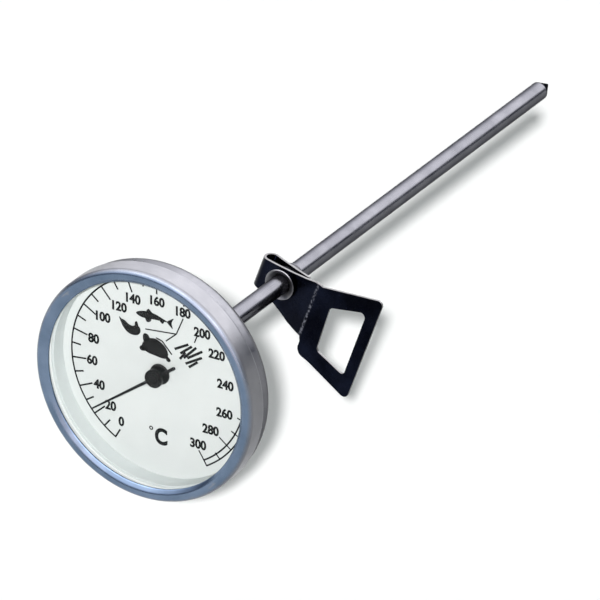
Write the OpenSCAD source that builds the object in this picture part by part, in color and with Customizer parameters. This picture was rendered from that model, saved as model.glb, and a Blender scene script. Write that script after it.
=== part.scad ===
// Bimetal dial thermometer with a long stem and a folded pan clip.
//
// Millimetres. The dial faces -Y, the stem runs along +Y, +Z is twelve o'clock
// on the dial and +X is three o'clock. The origin is on the stem's axis,
// origin_from_back behind the case's back face.
//
// How it works: a bimetal helix sits in the lower end of the stem. Its lower
// end is held in the stem, its upper end turns a thin spindle that runs up the
// stem in three guides and carries the pointer over the dial.
// The clip is one folded strip that turns and slides on a bright collar.

/* [View] */
// Which piece to draw, or all of them

/* [Case] */
// Outer diameter of the polished bezel ring
bezel_d = 50; // [48:0.5:54]
// Outer diameter of the case cup's wall
case_d = 49.1; // [47:0.1:49.2]
// Distance from the case's back face to the front of the bezel
case_depth = 9.6; // [9.4:0.1:12]
// Radius of the rounded corner at the back of the case
case_corner_r = 2.8; // [1:0.1:3.5]
// Sheet thickness of the case cup
case_t = 0.6; // [0.4:0.05:0.8]
// Diameter of the opening in the bezel
opening_d = 44.5; // [42:0.1:45]
// How far the bezel's skirt reaches back over the cup
bezel_skirt = 4.6; // [3:0.1:5.5]

/* [Lens and dial] */
// Glass thickness
lens_t = 1.6; // [1.2:0.1:1.8]
// Distance from the case's back face to the dial's printed face
dial_y = 2.7; // [2.3:0.1:3.2]
// Sheet thickness of the dial
dial_t = 0.4; // [0.3:0.05:0.5]
// Radius of the black boss at the middle of the dial
boss_r = 2.2; // [1.8:0.1:2.6]

/* [Pointer] */
// Length of the pointer from the axis to its tip
pointer_len = 18.6; // [15:0.1:19.4]
// Length of the pointer's tail
pointer_tail = 5.7; // [3:0.1:8]
// Width of the pointer where it meets the hub
pointer_w = 0.65; // [0.5:0.05:1.4]
// Width of the pointer at its tip
pointer_tip_w = 0.32; // [0.3:0.02:0.5]
// Radius of the black hub cap
hub_r = 1.95; // [1.8:0.05:2.8]
// Angle of the pointer from twelve o'clock, clockwise seen from the front
pointer_angle = -126; // [-150:1:148]

/* [Stem] */
// Stem diameter
stem_d = 4; // [3.9:0.02:4.1]
// Wall thickness of the stem tube
stem_wall = 0.35; // [0.3:0.01:0.36]
// Distance from the case's back face to the point of the stem
stem_len = 153; // [140:0.1:170]
// Length of the conical point
tip_len = 3.8; // [2:0.1:5]
// Length of the ferrule behind the case
ferrule_len = 8; // [4:0.5:12]
// Radius of the ferrule behind the case
ferrule_r = 3.6; // [3.2:0.1:5]

/* [Bimetal] */
// Number of turns of the bimetal helix
helix_turns = 12; // [8:1:13]
// Length of the bimetal helix
helix_len = 33; // [28:0.5:34]
// Strip thickness of the helix
helix_t = 0.16; // [0.12:0.01:0.2]

/* [Clip] */
// Distance from the case's back face to the front leaf at the stem's axis
clip_y = 44.5; // [42:0.5:60]
// Angle of the clip about the stem, below three o'clock
clip_turn = 20; // [-60:1:60]
// Sheet thickness of the clip
clip_t = 0.5; // [0.45:0.05:0.8]
// Slope of the front leaf towards the dial
front_slope = 10.6; // [9:0.1:12]
// Slope of the rear leaf towards the dial
rear_slope = 22; // [21:0.1:23]
// Slope of the windowed plate towards the dial
plate_slope = 3.7; // [0:0.1:8]
// Outer radius of the bright collar's barrel
collar_r = 2.45; // [2.4:0.05:2.5]
// Outer radius of the collar's flared front
collar_flange_r = 3.3; // [3:0.05:3.4]

/* [Hidden] */
fine = 96;
stem_r = stem_d / 2;
bore_r = stem_r - stem_wall;
front = -case_depth;
cup_r = case_d / 2;
bezel_r = bezel_d / 2;
open_r = opening_d / 2;
lens_front = front + 1.0;
lens_back = lens_front + lens_t;
gasket_t = 0.6;
spindle_r = 0.5;
fit = 0.03;
origin_from_back = 100;
cone_start = stem_len - tip_len;
helix_top = cone_start - 4.9 - helix_len;
pointer_back = -dial_y - 1.8;

// points of an arc, angle in degrees, first and last included
function arc(cx, cy, r, a0, a1, n) =
    [for (i = [0:n]) [cx + r * cos(a0 + (a1 - a0) * i / n),
                      cy + r * sin(a0 + (a1 - a0) * i / n)]];

// a body turned about the stem's axis from a profile of [radius, y] points
module lathe(pts) {
    rotate([-90, 0, 0]) rotate_extrude($fn = fine) polygon(pts);
}

// a ring about the stem's axis
module ring(r_in, r_out, y0, y1, edge = 0) {
    lathe([[r_in, y0 + edge], [r_in + edge, y0], [r_out - edge, y0],
           [r_out, y0 + edge], [r_out, y1 - edge], [r_out - edge, y1],
           [r_in + edge, y1], [r_in, y1 - edge]]);
}

module place() { translate([0, -origin_from_back, 0]) children(); }

// ---------------------------------------------------------------- case

// drawn cup: flat back with a hole for the ferrule, rounded corner, side wall
module case_cup() {
    color([0.72, 0.73, 0.75])
    lathe(concat(
        [[3.0, 0]],
        arc(cup_r - case_corner_r, -case_corner_r, case_corner_r, 90, 0, 10),
        [[cup_r, front + 1.35], [cup_r - case_t, front + 1.35]],
        arc(cup_r - case_corner_r, -case_corner_r,
            case_corner_r - case_t, 0, 90, 10),
        [[3.0, -case_t]]));
}

// rolled ring: skirt over the cup, rounded crest, lip turned in onto the glass
module bezel_ring() {
    lip_y = lens_front - 0.05;
    color([0.78, 0.79, 0.81])
    lathe(concat(
        [[cup_r + 0.02, front + 1.2 + 0.1], [cup_r + 0.02, front + bezel_skirt + 0.4],
         [cup_r + 0.22, front + bezel_skirt + 0.55],
         [bezel_r - 0.12, front + bezel_skirt + 0.4],
         [bezel_r, front + bezel_skirt + 0.15]],
        arc(bezel_r - 1.25, front + 1.25, 1.25, 0, -90, 12),
        [[bezel_r - 1.7, front + 0.06], [open_r + 0.35, front + 0.5],
         [open_r + 0.08, front + 0.66], [open_r, front + 0.8],
         [open_r, lip_y - 0.02], [open_r + 0.1, lip_y],
         [open_r + 1.6, lip_y], [open_r + 1.7, front + 1.2]]));
}

module lens() {
    color([0.8, 0.9, 0.92, 0.35])
    lathe([[0, lens_front], [open_r + 1.2, lens_front],
           [open_r + 1.4, lens_front + 0.2], [open_r + 1.4, lens_back - 0.2],
           [open_r + 1.2, lens_back], [0, lens_back]]);
}

// soft ring between the glass and the spacer
module lens_gasket() {
    color([0.86, 0.88, 0.86])
    ring(open_r + 0.7, cup_r - case_t - 0.1, lens_back + 0.02,
         lens_back + gasket_t, 0.12);
}

// white ring that holds the dial down and carries the glass
module spacer_ring() {
    color([0.92, 0.93, 0.91])
    ring(open_r + 0.35, cup_r - case_t - 0.1, lens_back + gasket_t + 0.03,
         -dial_y - 0.02, 0.08);
}

module dial_plate() {
    color([0.93, 0.95, 0.93])
    ring(1.62, cup_r - case_t - 0.15, -dial_y, -dial_y + dial_t);
}

// ring between the dial and the cup's back
module dial_support_ring() {
    color([0.25, 0.26, 0.27])
    ring(cup_r - case_corner_r - 2.3, cup_r - case_corner_r + 0.1,
         -dial_y + dial_t + 0.02, -case_t - 0.03, 0.1);
}

// black flanged boss in the dial's centre hole; the spindle passes through it
module dial_boss() {
    color([0.06, 0.06, 0.065])
    lathe([[0.58, -dial_y - 0.55], [boss_r - 0.2, -dial_y - 0.55],
           [boss_r, -dial_y - 0.35], [boss_r, -dial_y - 0.02],
           [1.55, -dial_y - 0.02], [1.55, -dial_y + dial_t + 0.6],
           [0.58, -dial_y + dial_t + 0.6]]);
}

// ---------------------------------------------------------------- stem

// joins the stem to the case: inner flange, neck in the cup's hole, outer collar
module stem_ferrule() {
    color([0.70, 0.71, 0.73])
    lathe([[stem_r + fit, -case_t - 0.55], [5.3, -case_t - 0.55],
           [5.5, -case_t - 0.4], [5.5, -case_t - 0.02], [2.96, -case_t - 0.02],
           [2.96, 0.02], [ferrule_r + 0.5, 0.02], [ferrule_r + 0.5, 0.7],
           [ferrule_r, 1.1], [ferrule_r, ferrule_len - 0.9],
           [ferrule_r - 0.6, ferrule_len], [stem_r + fit, ferrule_len]]);
}

module stem_tube() {
    color([0.74, 0.75, 0.77])
    lathe([[bore_r, -1.1], [stem_r, -1.1], [stem_r, cone_start - 0.02],
           [bore_r, cone_start - 0.02]]);
}

// solid plug that closes the tube, with a plain conical point
module stem_tip() {
    color([0.32, 0.32, 0.34])
    lathe([[0, cone_start - 2.6], [bore_r - 0.25, cone_start - 2.6],
           [bore_r - fit, cone_start - 2.35], [bore_r - fit, cone_start],
           [stem_r, cone_start], [stem_r, cone_start + 0.1],
           [0.22, stem_len - 0.1], [0.1, stem_len], [0, stem_len]]);
}

// a plain bearing pressed into the stem tube
module guide(y0, y1) {
    ring(spindle_r + 0.06, bore_r - fit, y0, y1, 0.12);
}

module upper_bush() { color([0.78, 0.62, 0.30]) guide(0.4, 4.4); }
module mid_guide() { color([0.78, 0.62, 0.30]) guide(54, 57); }
module lower_guide() {
    color([0.78, 0.62, 0.30]) guide(helix_top - 11, helix_top - 8);
}

module thrust_washer() {
    color([0.88, 0.88, 0.86]) ring(spindle_r + 0.06, bore_r - 0.1, 4.45, 4.75);
}

// plug that holds the helix's lower end in the stem
module bimetal_anchor() {
    color([0.78, 0.62, 0.30])
    ring(0.3, bore_r - fit, cone_start - 4.85, cone_start - 2.7, 0.12);
}

// one strip wound into a helix
module bimetal_helix() {
    a = 230;
    n = 9;
    rm = 1.24;
    color([0.62, 0.58, 0.50])
    translate([0, helix_top, 0]) rotate([-90, 0, 0])
    linear_extrude(height = helix_len, twist = -360 * helix_turns,
                   slices = helix_turns * 14)
    polygon(concat(arc(0, 0, rm + helix_t / 2, 0, a, n),
                   arc(0, 0, rm - helix_t / 2, a, 0, n)));
}

// ---------------------------------------------------------------- spindle

// sleeve that ties the helix's upper end to the spindle
module helix_coupling() {
    color([0.78, 0.62, 0.30])
    ring(spindle_r + 0.01, 1.35, helix_top - 4.3, helix_top - 0.3, 0.12);
}

module spindle() {
    color([0.66, 0.67, 0.69])
    lathe([[0, pointer_back - 0.85], [spindle_r - 0.12, pointer_back - 0.85],
           [spindle_r, pointer_back - 0.73], [spindle_r, helix_top - 0.52],
           [spindle_r - 0.12, helix_top - 0.4], [0, helix_top - 0.4]]);
}

// collar that stops the spindle from moving along the stem
module spindle_retainer() {
    color([0.70, 0.71, 0.73]) ring(spindle_r + 0.01, 1.25, 5.1, 6.3, 0.1);
}

// flat needle with a round eye in the middle and a short tail
module pointer() {
    color([0.05, 0.05, 0.055])
    translate([0, pointer_back, 0]) rotate([0, pointer_angle, 0])
    rotate([90, 0, 0]) linear_extrude(height = 0.26)
    difference() {
        union() {
            polygon([[-pointer_w / 2, 0], [pointer_w / 2, 0],
                     [pointer_tip_w / 2, pointer_len - 0.5],
                     [pointer_tip_w / 5, pointer_len],
                     [-pointer_tip_w / 5, pointer_len],
                     [-pointer_tip_w / 2, pointer_len - 0.5]]);
            translate([-pointer_w / 2, -pointer_tail + 0.4])
                square([pointer_w, pointer_tail]);
            translate([0, -pointer_tail + pointer_w / 2])
                circle(r = pointer_w / 2, $fn = 32);
            circle(r = 1.75, $fn = 64);
        }
        circle(r = 0.93, $fn = 48);
    }
}

// black cap with a neck through the pointer's eye
module pointer_hub() {
    y0 = pointer_back - 0.28;
    color([0.04, 0.04, 0.045])
    lathe(concat(
        [[spindle_r + 0.01, y0 + 1.1], [0.9, y0 + 1.1], [0.9, y0],
         [hub_r, y0], [hub_r, y0 - 0.55]],
        arc(hub_r - 0.35, y0 - 0.55, 0.35, 0, -90, 6),
        [[0, y0 - 1.02], [0, y0 - 0.75], [spindle_r + 0.01, y0 - 0.75]]));
}

// ---------------------------------------------------------------- clip

// bright collar between the stem and the clip, flared in front, swaged behind
module clip_collar() {
    b = stem_r + 0.06;
    y0 = clip_y - 1.7;
    y1 = clip_y + 3.9;
    swage_r = collar_r + 0.17;
    color([0.86, 0.87, 0.88])
    lathe([[collar_flange_r - 0.14, y0 + 0.02], [collar_flange_r - 0.04, y0],
           [collar_flange_r, y0 + 0.08], [collar_flange_r, y0 + 0.24],
           [collar_r, y0 + 0.72],
           [collar_r, y1 - 0.4], [swage_r, y1 - 0.3],
           [swage_r, y1 - 0.12], [swage_r - 0.12, y1],
           [b + 0.15, y1], [b, y1 - 0.15], [b, y0 + 0.75]]);
}

// side view of the folded strip in [u, y]: u points away from the fold
rear_y = clip_y + 1.9;
apex_u = (rear_y - clip_y) / (tan(rear_slope) - tan(front_slope));
apex_y = clip_y - tan(front_slope) * apex_u;
half = (rear_slope - front_slope) / 2;
mid = (rear_slope + front_slope) / 2;
fold_d = 14.3;
fold_r = fold_d * sin(half);
fold_u = apex_u - fold_d * cos(mid);
fold_y = apex_y + fold_d * sin(mid);
crease_u = 7.9;
crease_y = clip_y - tan(front_slope) * crease_u;
plate_end = 22.6;
rear_end = 5.0;

// a straight stretch of strip from p along direction a, length l
module leaf(p, a, l) {
    translate(p) rotate(a) translate([0, -clip_t / 2]) square([l, clip_t]);
}

module clip_side() {
    f0 = fold_d * cos(half);
    // front leaf from its tangent point on the fold to the crease
    leaf([apex_u - f0 * cos(front_slope), apex_y + f0 * sin(front_slope)],
         -front_slope, f0 - (apex_u - crease_u) / cos(front_slope));
    translate([crease_u, crease_y]) circle(r = clip_t / 2, $fn = 32);
    // windowed plate
    leaf([crease_u, crease_y], -plate_slope,
         (plate_end - crease_u) / cos(plate_slope));
    // rear leaf from its tangent point on the fold to its free end
    leaf([apex_u - f0 * cos(rear_slope), apex_y + f0 * sin(rear_slope)],
         -rear_slope, f0 - (apex_u - rear_end) / cos(rear_slope));
    // fold
    difference() {
        translate([fold_u, fold_y]) circle(r = fold_r + clip_t / 2, $fn = 64);
        translate([fold_u, fold_y]) circle(r = fold_r - clip_t / 2, $fn = 64);
        translate([fold_u, fold_y]) rotate(-mid)
            polygon([[0, 0], [6 * sin(half + 2), -6 * cos(half + 2)], [8, -6],
                     [8, 6], [6 * sin(half + 2), 6 * cos(half + 2)]]);
    }
}

// outline of the strip in [u, v]: v points towards twelve o'clock
module clip_face() {
    polygon(concat(
        [[-8, 1.3], [-3, 2.45], [0, 3.25], [1.5, 3.65], [4.6, 4.6], [7.0, 5.5],
         [8.0, 5.7], [9.0, 5.6]],
        arc(21.55, 9.85, 1.05, 105, 0, 6),
        arc(21.3, -12.95, 1.3, 0, -100, 7),
        [[12.0, -12.15]],
        arc(10.3, -10.1, 1.9, -100, -190, 7),
        [[8.35, -8.9], [7.9, -7.9], [6.6, -7.75], [4.2, -7.25], [2.0, -6.45],
         [-0.5, -5.75], [-3, -5.45], [-8, -5.3]]));
}

module clip_window() {
    polygon(concat(
        arc(13.25, 1.7, 1.15, 180, 112, 5),
        arc(18.95, 4.95, 1.0, 105, 0, 6),
        arc(19.3, -8.9, 0.75, 0, -100, 6),
        arc(13.6, -7.55, 1.1, -105, -180, 6)));
}

module along_y(y0, y1) {
    translate([0, y1, 0]) rotate([90, 0, 0]) linear_extrude(height = y1 - y0)
        children();
}

// one folded strip: fold, two leaves on the collar, crease, windowed plate
module clip() {
    color([0.10, 0.11, 0.16])
    rotate([0, clip_turn, 0])
    difference() {
        intersection() {
            linear_extrude(height = 40, center = true) clip_side();
            along_y(clip_y - 10, clip_y + 12) clip_face();
        }
        along_y(clip_y - 10, clip_y + 12) clip_window();
        rotate([-90, 0, 0]) translate([0, 0, clip_y - 10])
            cylinder(r = collar_r + 0.06, h = 24, $fn = 64);
    }
}

// ---------------------------------------------------------------- draw

place() case_cup();
place() bezel_ring();
place() lens();
place() lens_gasket();
place() spacer_ring();
place() dial_plate();
place() dial_support_ring();
place() dial_boss();
place() stem_ferrule();
place() stem_tube();
place() stem_tip();
place() upper_bush();
place() mid_guide();
place() lower_guide();
place() thrust_washer();
place() bimetal_anchor();
place() bimetal_helix();
place() helix_coupling();
place() spindle();
place() spindle_retainer();
place() pointer();
place() pointer_hub();
place() clip_collar();
place() clip();
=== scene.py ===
import math

import bmesh
import bpy
from mathutils import Matrix, Vector


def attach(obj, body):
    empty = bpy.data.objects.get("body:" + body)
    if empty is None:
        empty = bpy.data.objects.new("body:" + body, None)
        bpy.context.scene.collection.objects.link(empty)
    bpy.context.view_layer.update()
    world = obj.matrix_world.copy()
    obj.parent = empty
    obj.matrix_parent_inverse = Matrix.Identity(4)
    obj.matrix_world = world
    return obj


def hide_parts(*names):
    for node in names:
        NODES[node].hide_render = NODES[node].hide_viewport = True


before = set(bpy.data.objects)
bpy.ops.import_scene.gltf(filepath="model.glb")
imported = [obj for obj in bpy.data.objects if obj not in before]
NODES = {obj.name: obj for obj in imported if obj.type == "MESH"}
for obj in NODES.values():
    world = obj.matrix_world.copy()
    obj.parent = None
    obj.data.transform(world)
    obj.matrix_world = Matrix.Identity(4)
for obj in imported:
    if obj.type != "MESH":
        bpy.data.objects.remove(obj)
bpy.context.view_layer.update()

MM = 0.001
BACK = 100.0  # the case's back face lies this far in front of the origin, mm
scene = bpy.context.scene


# ------------------------------------------------------------------ shader help
class Graph:
    """Small helper that adds shader nodes and links them."""

    def __init__(self, name):
        self.mat = bpy.data.materials.new(name)
        self.mat.use_nodes = True
        self.tree = self.mat.node_tree
        self.tree.nodes.clear()
        self.out = self.tree.nodes.new("ShaderNodeOutputMaterial")
        self.bsdf = self.tree.nodes.new("ShaderNodeBsdfPrincipled")
        self.link(self.bsdf.outputs[0], self.out.inputs[0])
        self.coord = self.tree.nodes.new("ShaderNodeTexCoord").outputs["Object"]

    def link(self, a, b):
        self.tree.links.new(a, b)

    def math(self, op, a, b=None, clamp=False):
        n = self.tree.nodes.new("ShaderNodeMath")
        n.operation = op
        n.use_clamp = clamp
        for i, v in enumerate((a, b)):
            if v is None:
                continue
            if isinstance(v, (int, float)):
                n.inputs[i].default_value = v
            else:
                self.link(v, n.inputs[i])
        return n.outputs[0]

    def scaled(self, sx, sy, sz):
        n = self.tree.nodes.new("ShaderNodeMapping")
        n.inputs["Scale"].default_value = (sx, sy, sz)
        self.link(self.coord, n.inputs["Vector"])
        return n.outputs[0]

    def turned(self, along_r, along_y):
        """Coordinates that are constant round the stem's axis, for lathe lines."""
        sep = self.tree.nodes.new("ShaderNodeSeparateXYZ")
        self.link(self.coord, sep.inputs[0])
        xx = self.math("MULTIPLY", sep.outputs[0], sep.outputs[0])
        zz = self.math("MULTIPLY", sep.outputs[2], sep.outputs[2])
        r = self.math("SQRT", self.math("ADD", xx, zz))
        com = self.tree.nodes.new("ShaderNodeCombineXYZ")
        self.link(self.math("MULTIPLY", r, along_r), com.inputs[0])
        self.link(self.math("MULTIPLY", sep.outputs[1], along_y), com.inputs[1])
        return com.outputs[0]

    def noise(self, vector, scale, detail=3.0, rough=0.55):
        n = self.tree.nodes.new("ShaderNodeTexNoise")
        n.inputs["Scale"].default_value = scale
        n.inputs["Detail"].default_value = detail
        n.inputs["Roughness"].default_value = rough
        self.link(vector, n.inputs["Vector"])
        return n.outputs[0]

    def span(self, value, lo, hi, a=0.3, b=0.7):
        n = self.tree.nodes.new("ShaderNodeMapRange")
        n.inputs["From Min"].default_value = a
        n.inputs["From Max"].default_value = b
        n.inputs["To Min"].default_value = lo
        n.inputs["To Max"].default_value = hi
        self.link(value, n.inputs["Value"])
        return n.outputs[0]

    def mix(self, factor, one, two):
        n = self.tree.nodes.new("ShaderNodeMix")
        n.data_type = "RGBA"
        self.link(factor, n.inputs[0])
        for socket, v in ((n.inputs[6], one), (n.inputs[7], two)):
            if isinstance(v, tuple):
                socket.default_value = (*v, 1.0)
            else:
                self.link(v, socket)
        return n.outputs[2]

    def edges(self, lo=0.52, hi=0.60):
        g = self.tree.nodes.new("ShaderNodeNewGeometry")
        return self.span(g.outputs["Pointiness"], 0.0, 1.0, lo, hi)

    def bump(self, height, strength, distance):
        n = self.tree.nodes.new("ShaderNodeBump")
        n.inputs["Strength"].default_value = strength
        n.inputs["Distance"].default_value = distance
        self.link(height, n.inputs["Height"])
        self.link(n.outputs[0], self.bsdf.inputs["Normal"])


def metal(name, low, high, worn, rough, lines, fine=0.25, line_scale=1.0, graze=1.0):
    """Metal with lathe or draw lines, cloudy tarnish, handling smears and brighter edges."""
    g = Graph(name)
    if lines == "turned":
        line_uv = g.turned(9000.0 * line_scale, 9000.0 * line_scale)
    else:
        line_uv = g.scaled(9000.0 * line_scale, 120.0, 9000.0 * line_scale)
    line = g.noise(line_uv, 1.0, 2.0)
    cloud = g.noise(g.scaled(1.0, 1.0, 1.0), 160.0, 4.0)
    smear = g.noise(g.scaled(1.0, 0.6, 1.0), 420.0, 5.0, 0.62)
    base = g.mix(g.span(cloud, 0.0, 1.0), low, high)
    g.link(g.mix(g.edges(), base, worn), g.bsdf.inputs["Base Color"])
    r = g.math("ADD", g.span(smear, rough * 0.75, rough * 1.3), g.span(line, -0.03, 0.03))
    g.link(r, g.bsdf.inputs["Roughness"])
    g.bsdf.inputs["Metallic"].default_value = 1.0
    # painted shade: graze turns down the edge reflection colour, so reflections at grazing angles
    # come out darker than bare steel's
    g.bsdf.inputs["Specular Tint"].default_value = (graze, graze, graze, 1.0)
    g.bump(line, fine, 0.000004)
    return g.mat


def eyelet_metal(name):
    """The collar: brighter steel in its flared mouth; along the barrel behind it the same steel is
    darkened, which is painted shade.
    """
    g = Graph(name)
    sep = g.tree.nodes.new("ShaderNodeSeparateXYZ")
    g.link(g.coord, sep.inputs[0])
    behind = g.span(sep.outputs[1], 0.0, 1.0, -0.0566, -0.0562)
    cloud = g.noise(g.coord, 520.0, 4.0)
    line = g.noise(g.turned(9000.0, 9000.0), 1.0, 2.0)
    mouth = g.mix(g.span(cloud, 0.0, 1.0), (0.200, 0.200, 0.214), (0.290, 0.290, 0.306))
    # painted shade: the barrel behind the mouth gets a much darker copy of the same steel
    barrel = g.mix(g.span(cloud, 0.0, 1.0), (0.070, 0.071, 0.080), (0.105, 0.106, 0.116))
    g.link(g.mix(behind, mouth, barrel), g.bsdf.inputs["Base Color"])
    g.link(g.math("ADD", g.span(cloud, 0.28, 0.38), g.span(line, -0.03, 0.03)),
           g.bsdf.inputs["Roughness"])
    g.bsdf.inputs["Metallic"].default_value = 1.0
    g.bump(line, 0.12, 0.000004)
    return g.mat


def rolled_ring(name, lip, band, worn):
    """The bezel: a polished lip that changes to a brushed side band; the lip's colour is painted
    bluer and darker than the band's, a painted reflection on one steel ring.
    """
    g = Graph(name)
    sep = g.tree.nodes.new("ShaderNodeSeparateXYZ")
    g.link(g.coord, sep.inputs[0])
    r = g.math("SQRT", g.math("ADD", g.math("MULTIPLY", sep.outputs[0], sep.outputs[0]),
                              g.math("MULTIPLY", sep.outputs[2], sep.outputs[2])))
    side = g.span(r, 0.0, 1.0, 0.0242, 0.0250)
    line = g.noise(g.turned(9000.0, 9000.0), 1.0, 2.0)
    scratch = g.noise(g.scaled(420.0, 2600.0, 420.0), 1.0, 3.0)
    cloud = g.noise(g.coord, 150.0, 4.0)
    smear = g.noise(g.coord, 380.0, 5.0, 0.62)
    tone = g.span(cloud, 0.0, 1.0)
    # painted reflection: the lip takes the bluer, darker lip colours and the side band the neutral
    # ones
    base = g.mix(side, g.mix(tone, *lip), g.mix(tone, *band))
    g.link(g.mix(g.edges(0.56, 0.68), base, worn), g.bsdf.inputs["Base Color"])
    rough = g.math("ADD", g.span(smear, 0.17, 0.24), g.math("MULTIPLY", side, 0.11))
    g.link(g.math("ADD", rough, g.span(scratch, -0.03, 0.03)), g.bsdf.inputs["Roughness"])
    g.bsdf.inputs["Metallic"].default_value = 1.0
    g.bsdf.inputs["Specular Tint"].default_value = (0.90, 0.90, 0.92, 1.0)
    g.bump(g.math("ADD", line, g.math("MULTIPLY", scratch, 0.8)), 0.20, 0.000004)
    return g.mat


def blued_sheet(name):
    """Blued strip: uneven blue-black and drawn lines, with a painted highlight as a dotted bright
    line along the crease.
    """
    g = Graph(name)
    sep = g.tree.nodes.new("ShaderNodeSeparateXYZ")
    g.link(g.coord, sep.inputs[0])
    u = g.math("SUBTRACT", g.math("MULTIPLY", sep.outputs[0], math.cos(math.radians(20))),
               g.math("MULTIPLY", sep.outputs[2], math.sin(math.radians(20))))
    away = g.math("ABSOLUTE", g.math("SUBTRACT", u, 0.0079))
    fleck = g.noise(g.coord, 2400.0, 3.0)
    # painted highlight: a dotted bright line along the crease where the strip bends
    crease = g.math("MULTIPLY", g.span(away, 1.0, 0.0, 0.00008, 0.00040),
                    g.span(fleck, 0.0, 1.0, 0.44, 0.60))
    cloud = g.noise(g.coord, 130.0, 4.0)
    line = g.noise(g.scaled(9000.0, 120.0, 9000.0), 1.0, 2.0)
    smear = g.noise(g.coord, 420.0, 5.0, 0.62)
    blue = g.mix(g.span(cloud, 0.0, 1.0, 0.36, 0.66), (0.0010, 0.0015, 0.0046),
                 (0.0058, 0.0080, 0.0185))
    g.link(g.mix(crease, blue, (0.16, 0.165, 0.20)), g.bsdf.inputs["Base Color"])
    g.link(g.math("ADD", g.span(smear, 0.20, 0.34), g.span(line, -0.03, 0.03)),
           g.bsdf.inputs["Roughness"])
    g.bsdf.inputs["Metallic"].default_value = 1.0
    g.bump(g.math("ADD", line, g.math("MULTIPLY", fleck, 0.6)), 0.24, 0.000004)
    return g.mat


def coating(name, low, high, worn, rough, scale=260.0, grain=2600.0, bump=0.2, spec=0.5):
    """Paint, plastic or rubber with cloudy colour, uneven sheen and a fine grain."""
    g = Graph(name)
    cloud = g.noise(g.coord, scale, 4.0)
    fine = g.noise(g.coord, grain, 3.0)
    base = g.mix(g.span(cloud, 0.0, 1.0), low, high)
    g.link(g.mix(g.edges(), base, worn), g.bsdf.inputs["Base Color"])
    g.link(g.span(fine, rough * 0.82, rough * 1.18), g.bsdf.inputs["Roughness"])
    g.bsdf.inputs["Specular IOR Level"].default_value = spec
    g.bump(fine, bump, 0.00001)
    return g.mat


def clear_glass(name):
    """Float glass: nearly clear, with faint smears that change only its sheen."""
    g = Graph(name)
    smear = g.noise(g.coord, 90.0, 4.0)
    g.link(g.span(smear, 0.02, 0.07), g.bsdf.inputs["Roughness"])
    g.link(g.mix(g.span(smear, 0.0, 1.0), (0.020, 0.030, 0.027), (0.030, 0.042, 0.038)),
           g.bsdf.inputs["Base Color"])
    g.bsdf.inputs["Alpha"].default_value = 0.05
    return g.mat


MATS = {
    # first pair: the lip's colour with a painted blue reflection; second pair: the side band's
    # neutral steel
    "bezel_steel": rolled_ring("bezel_steel", ((0.112, 0.160, 0.236), (0.176, 0.236, 0.336)),
                               ((0.150, 0.152, 0.163), (0.190, 0.190, 0.201)),
                               (0.24, 0.26, 0.30)),
    "brushed_steel": metal("brushed_steel", (0.140, 0.142, 0.155), (0.180, 0.181, 0.194),
                           (0.24, 0.24, 0.26), 0.31, "turned", 0.25, graze=0.40),
    "stem_steel": metal("stem_steel", (0.104, 0.105, 0.117), (0.146, 0.146, 0.160),
                        (0.22, 0.22, 0.24), 0.24, "drawn", 0.24, graze=0.30),
    "tip_steel": metal("tip_steel", (0.004, 0.005, 0.009), (0.012, 0.014, 0.021),
                       (0.016, 0.018, 0.026), 0.36, "turned", 0.40, graze=0.12),
    "collar_steel": eyelet_metal("collar_steel"),
    "brass": metal("brass", (0.60, 0.43, 0.17), (0.76, 0.57, 0.27),
                   (0.88, 0.72, 0.42), 0.28, "turned", 0.30),
    "bimetal": metal("bimetal", (0.40, 0.36, 0.29), (0.56, 0.51, 0.42),
                     (0.70, 0.66, 0.58), 0.33, "turned", 0.30),
    "blued_spring_steel": blued_sheet("blued_spring_steel"),
    "cut_edge": metal("cut_edge", (0.085, 0.083, 0.087), (0.150, 0.146, 0.148),
                      (0.19, 0.19, 0.19), 0.34, "drawn", 0.35),
    "dial_white": coating("dial_white", (0.556, 0.590, 0.581), (0.584, 0.616, 0.606),
                          (0.584, 0.616, 0.606), 0.48, 120.0, 2200.0, 0.08, 0.30),
    "white_plastic": coating("white_plastic", (0.515, 0.562, 0.556), (0.556, 0.600, 0.594),
                             (0.60, 0.64, 0.63), 0.55, 200.0, 2600.0, 0.18),
    "grey_plastic": coating("grey_plastic", (0.040, 0.042, 0.046), (0.070, 0.072, 0.078),
                            (0.14, 0.14, 0.15), 0.50),
    "black_plastic": coating("black_plastic", (0.0030, 0.0032, 0.0036), (0.0085, 0.0088, 0.0095),
                             (0.012, 0.012, 0.014), 0.32, 260.0, 1500.0, 0.03, 0.16),
    "black_paint": coating("black_paint", (0.0030, 0.0032, 0.0036), (0.0080, 0.0082, 0.0090),
                           (0.020, 0.020, 0.022), 0.44, 260.0, 2600.0, 0.08, 0.10),
    "white_rubber": coating("white_rubber", (0.600, 0.645, 0.628), (0.655, 0.695, 0.680),
                            (0.70, 0.73, 0.72), 0.64, 300.0, 3400.0, 0.30),
    "dial_ink": coating("dial_ink", (0.0030, 0.0036, 0.0040), (0.0070, 0.0078, 0.0085),
                        (0.012, 0.012, 0.013), 0.66, 400.0, 4200.0, 0.12, 0.08),
    "glass": clear_glass("glass"),
}


# --------------------------------------------------------------------- meshes
def finish_mesh(name, bm, material, body, nodes=(), sharp=32.0):
    bmesh.ops.recalc_face_normals(bm, faces=bm.faces[:])
    mesh = bpy.data.meshes.new(name)
    bm.to_mesh(mesh)
    bm.free()
    mesh.polygons.foreach_set("use_smooth", [True] * len(mesh.polygons))
    mesh.set_sharp_from_angle(angle=math.radians(sharp))
    obj = bpy.data.objects.new(name, mesh)
    scene.collection.objects.link(obj)
    for m in material if isinstance(material, (list, tuple)) else [material]:
        mesh.materials.append(MATS[m])
    if nodes:
        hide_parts(*nodes)
    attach(obj, body)
    return obj


def arc(cr, cy, r, a0, a1, n):
    return [(cr + r * math.cos(math.radians(a0 + (a1 - a0) * i / n)),
             cy + r * math.sin(math.radians(a0 + (a1 - a0) * i / n)))
            for i in range(n + 1)]


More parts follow.
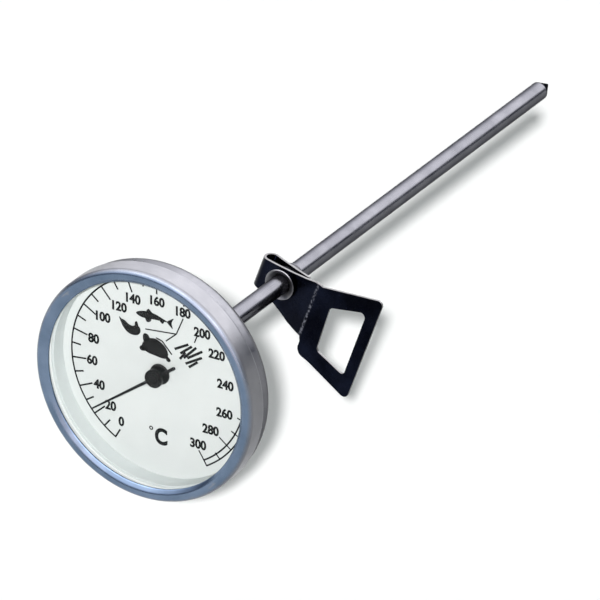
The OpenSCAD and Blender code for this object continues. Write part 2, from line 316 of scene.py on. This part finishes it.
def eased(points, radius, steps=4):
    """Rounds the corners of a closed profile; corners on the axis stay as they are."""
    out = []
    n = len(points)
    for i in range(n):
        p, c, q = (Vector(points[(i + k) % n]) for k in (-1, 0, 1))
        a, b = p - c, q - c
        if c.x < 1e-6 or a.length < 1e-9 or b.length < 1e-9:
            out.append(tuple(c))
            continue
        turn = math.pi - a.angle(b)
        cut = min(radius * math.tan(turn / 2), 0.42 * a.length, 0.42 * b.length)
        if turn < math.radians(14) or cut < 1e-4:
            out.append(tuple(c))
            continue
        s, e = c + a.normalized() * cut, c + b.normalized() * cut
        for k in range(steps + 1):
            t = k / steps
            out.append(tuple(s * (1 - t) ** 2 + c * 2 * t * (1 - t) + e * t * t))
    return out


def spaced(profile):
    """Extra points near the ends of long stretches, so that edge wear stays at the edges."""
    out = []
    for i, p in enumerate(profile):
        a, b = Vector(p), Vector(profile[(i + 1) % len(profile)])
        out.append(tuple(a))
        length = (b - a).length
        if length > 1.4:
            cuts = [0.25, 0.55] + [length * k / 6 for k in range(1, 6) if length > 8.0]
            cuts += [length - 0.55, length - 0.25]
            out += [tuple(a + (b - a) * (c / length)) for c in cuts]
    return out


def lathe(name, profile, material, body, nodes=(), segs=192, sharp=32.0):
    """Closed solid turned about the stem's axis from a profile of (radius, y), mm."""
    profile = spaced(profile)
    bm = bmesh.new()
    rings = []
    for r, y in profile:
        if r < 1e-6:
            rings.append([bm.verts.new((0, (y - BACK) * MM, 0))])
        else:
            rings.append([
                bm.verts.new((r * MM * math.sin(2 * math.pi * i / segs), (y - BACK) * MM,
                              r * MM * math.cos(2 * math.pi * i / segs)))
                for i in range(segs)])
    for k in range(len(rings)):
        a, b = rings[k], rings[(k + 1) % len(rings)]
        if len(a) == 1 and len(b) == 1:
            continue
        for i in range(segs):
            j = (i + 1) % segs
            if len(a) == 1:
                bm.faces.new((a[0], b[i], b[j]))
            elif len(b) == 1:
                bm.faces.new((a[i], a[j], b[0]))
            else:
                bm.faces.new((a[i], a[j], b[j], b[i]))
    return finish_mesh(name, bm, material, body, nodes, sharp)


def prism(bm, outline, y0, y1, hole=None):
    """Closed plate from a 2-D outline in dial coordinates (x right, z up), mm."""
    def loop(points, y):
        return [bm.verts.new((x * MM, (y - BACK) * MM, z * MM)) for x, z in points]
    f, b = loop(outline, y0), loop(outline, y1)
    n = len(outline)
    for i in range(n):
        bm.faces.new((f[i], f[(i + 1) % n], b[(i + 1) % n], b[i]))
    if hole is None:
        bm.faces.new(f)
        bm.faces.new(b[::-1])
        return
    hf, hb = loop(hole, y0), loop(hole, y1)
    m = len(hole)
    for i in range(m):
        bm.faces.new((hf[(i + 1) % m], hf[i], hb[i], hb[(i + 1) % m]))
    for outer, inner in ((f, hf), (b, hb)):
        edges = []
        for ring in (outer, inner):
            for i in range(len(ring)):
                edges.append(bm.edges.get((ring[i], ring[(i + 1) % len(ring)])))
        bmesh.ops.triangle_fill(bm, use_beauty=True, edges=edges)


# ------------------------------------------------------------------------ case
FRONT, OPEN_R, CUP_R, BEZ_R = -9.6, 22.25, 24.55, 25.0
lathe("bezel", (
    [(CUP_R + 0.02, FRONT + 1.3), (CUP_R + 0.02, FRONT + 5.0),
     (CUP_R + 0.10, FRONT + 5.11), (CUP_R + 0.22, FRONT + 5.15),
     (BEZ_R - 0.12, FRONT + 5.06), (BEZ_R - 0.03, FRONT + 4.92),
     (BEZ_R, FRONT + 4.72)]
    + arc(BEZ_R - 1.25, FRONT + 1.25, 1.25, 0, -90, 22)
    + [(BEZ_R - 1.7, FRONT + 0.05), (BEZ_R - 2.1, FRONT + 0.24),
       (OPEN_R + 0.35, FRONT + 0.50), (OPEN_R + 0.16, FRONT + 0.60),
       (OPEN_R + 0.04, FRONT + 0.72), (OPEN_R, FRONT + 0.82),
       (OPEN_R, -8.67), (OPEN_R + 0.1, -8.65), (OPEN_R + 1.6, -8.65),
       (OPEN_R + 1.7, FRONT + 1.2)]),
    "bezel_steel", "housing", ["bezel_ring"], 256, 40.0)

lathe("case", (
    [(3.0, 0.0)] + arc(CUP_R - 2.8, -2.8, 2.8, 90, 0, 18)
    + [(CUP_R, FRONT + 1.35), (CUP_R - 0.6, FRONT + 1.35)]
    + arc(CUP_R - 2.8, -2.8, 2.2, 0, 90, 12) + [(3.0, -0.6)]),
    "brushed_steel", "housing", ["case_cup"], 256)

lathe("glass_disc", eased([(0, -8.6), (23.45, -8.6), (23.65, -8.4), (23.65, -7.2),
                           (23.45, -7.0), (0, -7.0)], 0.05),
      "glass", "housing", ["lens"], 192)
lathe("spacer", eased([(22.6, -6.37), (23.85, -6.37), (23.85, -2.72), (22.6, -2.72)], 0.12),
      "white_plastic", "housing", ["spacer_ring"], 192)
lathe("dial", eased([(1.62, -2.7), (2.6, -2.7), (12.0, -2.7), (22.6, -2.7), (23.8, -2.7),
                      (23.8, -2.3), (22.6, -2.3), (12.0, -2.3), (2.6, -2.3), (1.62, -2.3)],
                     0.04),
      "dial_white", "housing", ["dial_plate"], 192)
lathe("boss", eased([(0.58, -3.25), (2.0, -3.25), (2.2, -3.05), (2.2, -2.72),
                     (1.55, -2.72), (1.55, -1.7), (0.58, -1.7)], 0.08),
      "black_plastic", "housing", ["dial_boss"], 96)

# ------------------------------------------------------------------------ stem
lathe("ferrule", eased([(2.03, -1.15), (5.3, -1.15), (5.5, -1.0), (5.5, -0.62),
                        (2.96, -0.62), (2.96, 0.02), (4.1, 0.02), (4.1, 0.7),
                        (3.6, 1.1), (3.6, 7.1), (3.0, 8.0), (2.03, 8.0)], 0.12),
      "brushed_steel", "housing", ["stem_ferrule"], 128)
lathe("stem", eased([(1.65, -1.1), (2.0, -1.1), (2.0, 149.18), (1.65, 149.18)], 0.03),
      "stem_steel", "housing", ["stem_tube"], 128)
lathe("stem_point", eased([(0, 146.6), (1.4, 146.6), (1.62, 146.85), (1.62, 149.2),
                           (2.0, 149.2), (2.0, 149.3), (0.22, 152.9), (0.1, 153.0),
                           (0, 153.0)], 0.04),
      "tip_steel", "housing", ["stem_tip"], 96)

# --------------------------------------------------------------------- pointer
def turned(points, degrees):
    """Dial outline turned clockwise, as seen from the front."""
    c, s = math.cos(math.radians(degrees)), math.sin(math.radians(degrees))
    return [(x * c + z * s, -x * s + z * c) for x, z in points]


def needle_outline():
    half, tip, length, tail, eye = 0.325, 0.16, 18.6, 5.7, 1.75
    start = math.asin(half / eye)
    right = [(eye * math.sin(start + (math.pi - 2 * start) * i / 28),
              eye * math.cos(start + (math.pi - 2 * start) * i / 28)) for i in range(29)]
    top = [(tip / 2.5, length), (tip, length - 0.5)]
    tail_end = [(half * math.cos(math.pi * i / 10), -tail + half - half * math.sin(math.pi * i / 10))
                for i in range(11)]
    left = [(-x, z) for x, z in reversed(right)]
    return top + right + tail_end + left + [(-tip, length - 0.5), (-tip / 2.5, length)]


POINTER = -126
bm = bmesh.new()
hole = [(0.93 * math.cos(2 * math.pi * i / 40), 0.93 * math.sin(2 * math.pi * i / 40))
        for i in range(40)]
prism(bm, turned(needle_outline(), POINTER), -4.76, -4.5, turned(hole, POINTER))
bmesh.ops.recalc_face_normals(bm, faces=bm.faces[:])
rim = [e for e in bm.edges if len(e.link_faces) == 2
       and e.calc_face_angle(0.0) > math.radians(60)
       and abs(e.verts[0].co.y - e.verts[1].co.y) < 1e-7]
bmesh.ops.bevel(bm, geom=rim, offset=0.03 * MM, segments=2, affect="EDGES", clamp_overlap=True)
finish_mesh("needle", bm, "black_paint", "movement", ["pointer"], 25.0)

lathe("needle_hub", eased(
    [(0.51, -3.68), (0.9, -3.68), (0.9, -4.78), (1.95, -4.78), (1.95, -5.33)]
    + arc(1.60, -5.33, 0.35, 0, -90, 8)[1:] + [(1.25, -5.68), (1.10, -5.58), (0.80, -5.58), (0.68, -5.74), (0, -5.8), (0, -5.53), (0.51, -5.53)],
    0.05), "black_plastic", "movement", ["pointer_hub"], 96)

# ------------------------------------------------------------------------ clip
lathe("collar", eased(
    [(3.16, 42.82), (3.26, 42.8), (3.3, 42.88), (3.3, 43.04), (2.45, 43.52),
     (2.45, 48.0), (2.62, 48.1), (2.62, 48.28), (2.50, 48.4), (2.21, 48.4), (2.06, 48.25),
     (2.06, 43.55)], 0.10), "collar_steel", "collar", ["clip_collar"], 128)

TURN = math.radians(20)


def clip_axes(v):
    """(u, v, y) of a row-frame vector: u away from the fold, v across the strip."""
    return (v.x * math.cos(TURN) - v.z * math.sin(TURN),
            v.x * math.sin(TURN) + v.z * math.cos(TURN), v.y)


bm = bmesh.new()
bm.from_mesh(NODES["clip"].data)
bmesh.ops.remove_doubles(bm, verts=bm.verts[:], dist=1e-6)
bmesh.ops.dissolve_limit(bm, angle_limit=math.radians(1.0), verts=bm.verts[:], edges=bm.edges[:])
bm.normal_update()
for f in bm.faces:
    cu, cv, cy = clip_axes(f.calc_center_median())
    nu, nv, ny = clip_axes(f.normal)
    sheet_face = abs(nv) < 0.05 and (cu < -0.0035 or abs(ny) > 0.9)
    f.material_index = 0 if sheet_face else 1
rim = [e for e in bm.edges if len(e.link_faces) == 2
       and e.link_faces[0].material_index != e.link_faces[1].material_index
       and e.calc_face_angle(0.0) > math.radians(45)]
bmesh.ops.bevel(bm, geom=rim, offset=0.09 * MM, segments=2, affect="EDGES",
                clamp_overlap=True, material=1)
strip = finish_mesh("pan_clip_strip", bm, ["blued_spring_steel", "cut_edge"], "pan_clip",
                    ["clip"], 35.0)
flat = strip.modifiers.new("flat_faces", "WEIGHTED_NORMAL")
flat.keep_sharp = True
flat.weight = 100

# ------------------------------------------------------------------ dial print
INK0, INK1 = -2.718, -2.695
CX, CZ = -0.5, 0.6
KNOTS = [(0, -150), (60, -96), (120, -40.5), (160, -0.5), (200, 42.5), (240, 86),
         (270, 118), (300, 148.5)]


def scale_angle(t):
    for (t0, a0), (t1, a1) in zip(KNOTS, KNOTS[1:]):
        if t <= t1:
            return a0 + (a1 - a0) * (t - t0) / (t1 - t0)
    return KNOTS[-1][1]


def polar(r, deg):
    return (CX + r * math.sin(math.radians(deg)), CZ + r * math.cos(math.radians(deg)))


def ink_arc(bm, r, width, a0, a1):
    n = max(2, int(abs(a1 - a0) / 1.5))
    steps = [a0 + (a1 - a0) * i / n for i in range(n + 1)]
    prism(bm, [polar(r + width / 2, a) for a in steps]
          + [polar(r - width / 2, a) for a in reversed(steps)], INK0, INK1)


def ink_line(bm, p, q, width, y0=INK0):
    p, q = Vector(p), Vector(q)
    d = (q - p).normalized() * width / 2
    n = Vector((-d.y, d.x))
    prism(bm, [tuple(p + n), tuple(q + n), tuple(q - n), tuple(p - n)], y0, INK1)


bm = bmesh.new()
first, last = scale_angle(0), scale_angle(300)
ink_arc(bm, 20.1, 0.36, first, last)
rail = scale_angle(200)
ink_arc(bm, 21.36, 0.34, rail, last)
for t in range(0, 301, 10):
    a = scale_angle(t)
    major = t % 20 == 0
    if t < 200:
        inner = 20.1 - (2.2 if t == 0 else 3.3 if major else 2.1)
    else:
        inner = 20.1 - (2.2 if t >= 280 and major else 0.35 if t == 290 else 1.0)
    outer = 21.36 if t >= 200 else 20.1
    ink_line(bm, polar(inner, a), polar(outer + 0.15, a), 0.36 if t < 200 else 0.30, INK0 - 0.0006)
finish_mesh("dial_scale", bm, "dial_ink", "housing", ())


def glyphs(body, bold=0.0):
    """A line of built-in lettering as a flat filled mesh, with its bounding box."""
    curve = bpy.data.curves.new("glyph", "FONT")
    curve.body = body
    curve.size = 1.0
    curve.offset = bold
    curve.extrude = 0.05
    curve.resolution_u = 6
    obj = bpy.data.objects.new("glyph", curve)
    scene.collection.objects.link(obj)
    bpy.context.view_layer.update()
    deps = bpy.context.evaluated_depsgraph_get()
    mesh = bpy.data.meshes.new_from_object(obj.evaluated_get(deps))
    bpy.data.objects.remove(obj)
    bpy.data.curves.remove(curve)
    xs = [v.co.x for v in mesh.vertices]
    ys = [v.co.y for v in mesh.vertices]
    return mesh, (min(xs), max(xs), min(ys), max(ys))


def lettering(name, body, x, z, height, condense, bold=0.036, widen=0.035):
    """Figures centred on (x, z), a hair proud of the dial; struck twice to widen the strokes."""
    mesh, (x0, x1, y0, y1) = glyphs(body, bold)
    s = height / (y1 - y0)
    bm = bmesh.new()
    bm.from_mesh(mesh)
    bmesh.ops.remove_doubles(bm, verts=bm.verts[:], dist=1e-5)
    bmesh.ops.duplicate(bm, geom=bm.verts[:] + bm.edges[:] + bm.faces[:])
    bpy.data.meshes.remove(mesh)
    bm.verts.ensure_lookup_table()
    half_count = len(bm.verts) // 2
    for i, v in enumerate(bm.verts):
        gx, gy, gz = v.co
        second = i >= half_count
        v.co = ((x + (gx - (x0 + x1) / 2) * s * condense + (widen if second else -widen)) * MM,
                ((INK0 + (0.0006 if second else 0.0) if gz > 0 else INK1) - BACK) * MM,
                (z + (gy - (y0 + y1) / 2) * s) * MM)
    return finish_mesh(name, bm, "dial_ink", "housing", ())


FIGURES = {0: (-9.17, -13.05), 20: (-11.64, -10.14), 40: (-14.27, -6.14),
           60: (-15.86, -1.07), 80: (-15.46, 3.82), 100: (-13.17, 9.18),
           120: (-9.33, 12.47), 140: (-6.1, 15.0), 160: (-0.51, 15.86),
           180: (5.45, 14.93), 200: (9.77, 11.51), 220: (13.1, 7.64),
           240: (15.06, 1.49), 260: (14.81, -4.87), 280: (11.6, -9.37),
           300: (8.7, -13.31)}
for t, (x, z) in FIGURES.items():
    lettering(f"figure_{t}", str(t), x, z, 2.15, 0.90)
lettering("unit_letter", "C", 0.1, -13.95, 3.8, 0.84, 0.038, 0.05)
bm = bmesh.new()
ring_pts = [(math.cos(2 * math.pi * i / 36), math.sin(2 * math.pi * i / 36)) for i in range(36)]
prism(bm, [(-2.21 + 0.46 * c, -12.60 + 0.46 * s) for c, s in ring_pts], INK0, INK1,
      [(-2.21 + 0.21 * c, -12.60 + 0.21 * s) for c, s in ring_pts])
finish_mesh("unit_degree", bm, "dial_ink", "housing", ())

# plain food silhouettes beside the scale, with thin leader lines
bm = bmesh.new()


def smooth_outline(points, steps=5):
    """Closed outline through the points (Catmull-Rom)."""
    out, n = [], len(points)
    for i in range(n):
        p0, p1, p2, p3 = (Vector(points[(i + k) % n]) for k in (-1, 0, 1, 2))
        for k in range(steps):
            t = k / steps
            out.append(tuple(0.5 * (2 * p1 + (p2 - p0) * t + (2 * p0 - 5 * p1 + 4 * p2 - p3) * t * t
                                    + (3 * p1 - p0 - 3 * p2 + p3) * t ** 3)))
    return out


def blob(points):
    prism(bm, smooth_outline(points), INK0, INK1)


# fish, head to the left: back, belly stripes, fins and forked tail
blob([(-5.5, 12.15), (-4.7, 12.7), (-3.2, 13.05), (-1.2, 12.95), (0.6, 12.4), (1.9, 11.85),
      (0.6, 11.75), (-1.4, 11.65), (-3.4, 11.45), (-4.7, 11.6)])
blob([(1.7, 11.9), (2.5, 12.6), (3.25, 13.0), (2.75, 11.9), (3.0, 10.7), (2.35, 11.15)])
blob([(-3.1, 12.9), (-2.6, 13.7), (-2.0, 13.25), (-1.6, 12.85)])
blob([(-3.3, 11.55), (-3.0, 10.75), (-2.2, 10.95), (-2.0, 11.6)])
blob([(0.0, 11.75), (0.6, 11.2), (1.0, 11.75)])
# drumstick with a bone end
blob([(-9.45, 10.3), (-8.9, 9.95), (-8.1, 9.75), (-7.2, 9.15), (-6.3, 9.0), (-5.4, 9.4),
      (-4.65, 9.0), (-4.5, 8.1), (-5.1, 7.3), (-6.3, 7.0), (-7.5, 7.3), (-8.4, 8.1),
      (-9.0, 9.1)])
blob([(-5.75, 9.2), (-5.75, 9.95), (-5.35, 10.25), (-5.1, 9.8), (-5.05, 9.1)])
# roast bird: body, raised leg, wing and neck
blob([(-4.2, 5.0), (-3.7, 6.4), (-2.6, 7.2), (-1.1, 7.5), (0.3, 7.0), (1.4, 6.0),
      (1.9, 4.8), (1.5, 3.8), (0.4, 3.55), (-1.2, 3.75), (-2.9, 4.0)])
blob([(-3.7, 6.3), (-3.95, 7.5), (-3.5, 8.1), (-2.7, 7.9), (-2.4, 7.0)])
blob([(-4.3, 5.2), (-4.75, 4.6), (-4.3, 4.1), (-3.2, 4.3), (-3.0, 4.9)])
ink_line(bm, (-0.9, 7.75), (0.6, 7.35), 0.32)
ink_line(bm, (0.5, 7.4), (2.75, 4.95), 0.34)
blob([(1.6, 4.2), (2.2, 4.0), (2.45, 3.4), (1.9, 3.1), (1.4, 3.5)])
# a heap of chips, each a short bar
CHIPS = [((3.4, 6.4), (6.6, 8.2)), ((4.7, 5.75), (7.4, 7.95)), ((4.6, 4.5), (5.9, 6.25)),
         ((5.5, 4.95), (8.4, 7.95)), ((6.3, 5.1), (9.8, 7.45)), ((5.9, 3.8), (9.7, 6.05)),
         ((6.65, 3.2), (8.7, 4.85))]
for p, q in CHIPS:
    ink_line(bm, p, q, 0.54)
# leaders
for p, q in [((5.44, 13.61), (3.81, 9.77)), ((3.81, 9.77), (1.39, 7.62)),
             ((-3.36, 9.06), (3.81, 9.77)), ((8.66, 10.65), (7.98, 8.95))]:
    ink_line(bm, p, q, 0.28)
finish_mesh("dial_pictograms", bm, "dial_ink", "housing", ())

# --------------------------------------------------- carried-over inner pieces
INNER = {"lens_gasket": "white_rubber", "dial_support_ring": "grey_plastic",
         "upper_bush": "brass", "mid_guide": "brass", "lower_guide": "brass",
         "thrust_washer": "white_plastic", "bimetal_anchor": "brass",
         "bimetal_helix": "bimetal", "helix_coupling": "brass",
         "spindle": "brushed_steel", "spindle_retainer": "brushed_steel"}
for node, look in INNER.items():
    mesh = NODES[node].data
    mesh.materials.clear()
    mesh.materials.append(MATS[look])

# ---------------------------------------------------------------------- studio
bpy.ops.mesh.primitive_plane_add(size=60.0, location=(0, 0, -0.065))
floor = bpy.context.object
floor.name = "floor"
g = Graph("studio_floor")
tone = g.noise(g.coord, 3.0, 2.0)
g.link(g.mix(g.span(tone, 0.0, 1.0), (0.885, 0.900, 0.895), (0.905, 0.915, 0.912)),
       g.bsdf.inputs["Base Color"])
g.bsdf.inputs["Roughness"].default_value = 0.9
g.bsdf.inputs["Specular IOR Level"].default_value = 0.1
floor.data.materials.append(g.mat)

world = bpy.data.worlds.new("studio")
scene.world = world
world.use_nodes = True
wt = world.node_tree
wt.nodes.clear()
wo = wt.nodes.new("ShaderNodeOutputWorld")
sep = wt.nodes.new("ShaderNodeSeparateXYZ")
tc = wt.nodes.new("ShaderNodeTexCoord")
wt.links.new(tc.outputs["Generated"], sep.inputs[0])
SIDE, ALONG, UP = sep.outputs


def fade(socket, a, b, lo, hi):
    n = wt.nodes.new("ShaderNodeMapRange")
    n.interpolation_type = "SMOOTHSTEP"
    for key_name, v in (("From Min", a), ("From Max", b), ("To Min", lo), ("To Max", hi)):
        n.inputs[key_name].default_value = v
    wt.links.new(socket, n.inputs["Value"])
    return n.outputs[0]


def times(a, b):
    n = wt.nodes.new("ShaderNodeMath")
    n.operation = "MULTIPLY"
    wt.links.new(a, n.inputs[0])
    wt.links.new(b, n.inputs[1])
    return n.outputs[0]


def glow(strength, colour):
    n = wt.nodes.new("ShaderNodeBackground")
    n.inputs[0].default_value = (*colour, 1.0)
    wt.links.new(strength, n.inputs[1])
    return n.outputs[0]


def stack(a, b):
    n = wt.nodes.new("ShaderNodeAddShader")
    wt.links.new(a, n.inputs[0])
    wt.links.new(b, n.inputs[1])
    return n.outputs[0]


def softbox(direction, outer, inner, strength, colour):
    """A round soft light in the surroundings, its edge fading between two half-angles."""
    dot = wt.nodes.new("ShaderNodeVectorMath")
    dot.operation = "DOT_PRODUCT"
    dot.inputs[1].default_value = Vector(direction).normalized()
    wt.links.new(tc.outputs["Generated"], dot.inputs[0])
    return glow(fade(dot.outputs["Value"], math.cos(math.radians(outer)),
                     math.cos(math.radians(inner)), 0.0, strength), colour)


# a broad soft panel behind the object, from side to side, dimmer to the left
tilt = wt.nodes.new("ShaderNodeMath")
tilt.operation = "MULTIPLY_ADD"
tilt.inputs[1].default_value = -0.24
wt.links.new(SIDE, tilt.inputs[0])
wt.links.new(UP, tilt.inputs[2])
panel = times(fade(tilt.outputs[0], 0.08, 0.27, 0.0, 1.0),
              times(fade(ALONG, 0.50, 0.70, 0.0, 4.4),
                    fade(SIDE, -0.85, -0.10, 0.38, 1.0)))
lights = glow(panel, (1.0, 0.985, 0.990))
# a soft ceiling over the front of the object, fading to a dim horizon
ceiling = times(fade(UP, 0.10, 0.78, 0.0, 3.4), fade(ALONG, 0.30, 0.62, 1.0, 0.0))
lights = stack(lights, glow(ceiling, (1.0, 0.97, 0.975)))
lights = stack(lights, glow(fade(UP, -0.2, 0.4, 0.10, 0.30), (0.62, 0.76, 1.0)))
# low soft lights in front, for the ring's inner slope and its right shoulder
lights = stack(lights, softbox((0.33, -0.88, 0.33), 30, 13, 2.2, (1.0, 0.76, 0.66)))
# three soft patches overhead, one behind the other from left to right
for strip in ((-0.42, -0.33, 0.84), (0.03, -0.44, 0.90), (0.51, -0.50, 0.70)):
    lights = stack(lights, softbox(strip, 13, 5, 4.5, (1.0, 0.97, 0.97)))
lights = stack(lights, softbox((0.73, -0.60, 0.23), 14, 7, 1.5, (0.97, 0.985, 1.0)))
# beyond the floor's far edge the surroundings carry on in the floor's own white
lights = stack(lights, glow(fade(UP, 0.02, 0.05, 0.90, 0.0), (1.0, 1.0, 0.97)))
wt.links.new(lights, wo.inputs[0])
# these surroundings are what the metal reflects; the two lamps light the rest
world.cycles_visibility.diffuse = False

AZ, EL = math.radians(30.878), math.radians(26.726)
back = Vector((math.sin(AZ) * math.cos(EL), -math.cos(AZ) * math.cos(EL), math.sin(EL)))
right = Vector((math.cos(AZ), math.sin(AZ), 0.0))
up = back.cross(right)

key_dir = (back + math.tan(math.radians(1.55)) * (up * 0.70 - right * 0.71)).normalized()
sun = bpy.data.lights.new("key", "SUN")
sun.energy = 5.0
sun.color = (1.0, 0.985, 0.985)
sun.angle = math.radians(1.5)
key = bpy.data.objects.new("key", sun)
key.rotation_mode = "QUATERNION"
key.rotation_quaternion = key_dir.to_track_quat("Z", "Y")
key.visible_glossy = False
scene.collection.objects.link(key)

fill_data = bpy.data.lights.new("fill", "SUN")
fill_data.energy = 1.30
fill_data.color = (0.965, 1.0, 0.995)
fill_data.angle = math.radians(70)
fill = bpy.data.objects.new("fill", fill_data)
fill.rotation_mode = "QUATERNION"
fill.rotation_quaternion = Vector((-0.25, 0.35, 0.90)).to_track_quat("Z", "Y")
fill.visible_glossy = False
scene.collection.objects.link(fill)

# ---------------------------------------------------------------------- camera
cam_data = bpy.data.cameras.new("camera")
cam_data.sensor_width = 36.0
cam_data.lens = 514.87
cam_data.clip_start = 0.05
cam_data.clip_end = 200.0
cam = bpy.data.objects.new("camera", cam_data)
target = Vector((-3.843, -42.5, -10.699)) * MM
m = Matrix((right, up, back)).transposed().to_4x4()
m.translation = target + back * 1.74667
cam.matrix_world = m
scene.collection.objects.link(cam)
scene.camera = cam
scene.view_settings.view_transform = "Standard"
